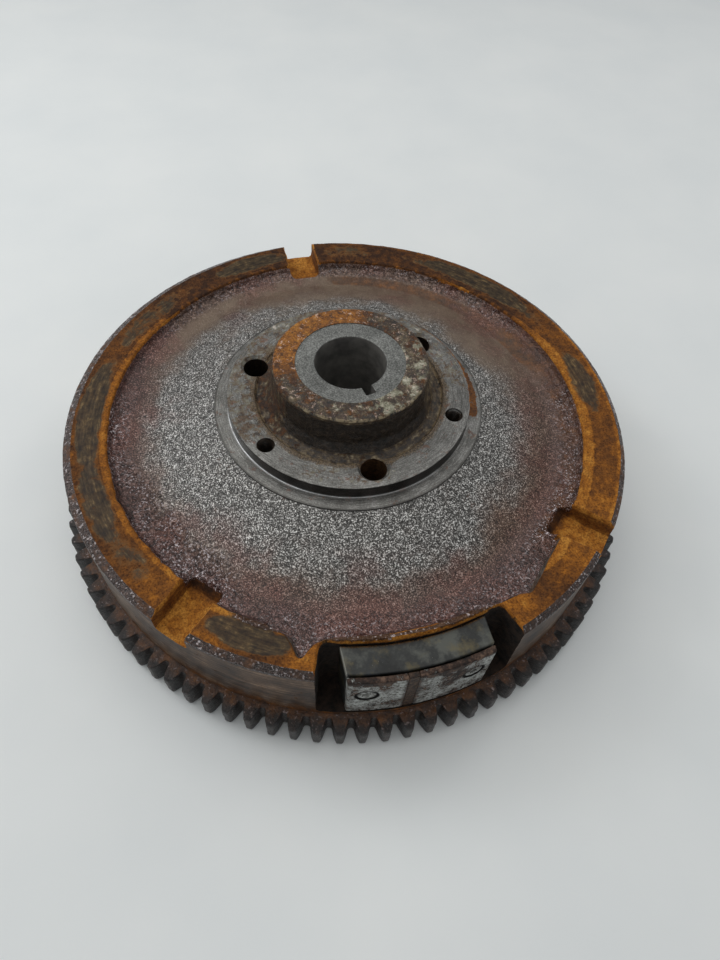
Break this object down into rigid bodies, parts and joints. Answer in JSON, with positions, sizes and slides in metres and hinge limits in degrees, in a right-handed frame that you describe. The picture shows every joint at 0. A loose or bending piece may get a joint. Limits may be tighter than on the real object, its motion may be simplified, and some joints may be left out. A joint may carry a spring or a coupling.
{
  "type": "flywheel",
  "caption": "Cast-iron engine flywheel with a dished web, keyed hub, starter ring gear, ignition magnet and charging magnets.",
  "frame": {"origin": "on the crank axis, in the plane of the rim's engine-side edge, on which the wheel stands", "axes": "+Z along the crank axis from the engine side to the fan side; -Y towards the middle of the ignition magnet"},
  "size_m": [0.2336, 0.2336, 0.0734],
  "materials": {
    "casting": "sand-cast web, machined faces under brown and orange rust",
    "ring_gear": "dark, rusty and oily",
    "magnet_block": "smooth grey, slightly stained",
    "pole_shoe": "worn pale paint over rusty steel",
    "pole_spacer": "brown, dull",
    "screws": "dull, lightly stained",
    "charging_magnet": "dark grey ferrite, matt",
    "retainer": "dull plated sheet"
  },
  "bodies": {
    "root": {"flywheel_casting": "casting", "starter_ring_gear": "ring_gear", "ignition_magnet": "magnet_block", "pole_shoe_left": "pole_shoe", "pole_shoe_right": "pole_shoe", "pole_spacer": "pole_spacer", "pole_screw_left": "screws", "pole_screw_right": "screws", "magnet_retainer": "retainer", "charging_magnet_01": "charging_magnet", "charging_magnet_02": "charging_magnet", "charging_magnet_03": "charging_magnet", "charging_magnet_04": "charging_magnet", "charging_magnet_05": "charging_magnet", "charging_magnet_06": "charging_magnet", "charging_magnet_07": "charging_magnet", "charging_magnet_08": "charging_magnet", "charging_magnet_09": "charging_magnet", "charging_magnet_10": "charging_magnet", "retainer_screw_1": "screws", "retainer_screw_2": "screws", "retainer_screw_3": "screws", "retainer_screw_4": "screws", "retainer_screw_5": "screws", "retainer_screw_6": "screws"}
  },
  "joints": []
}
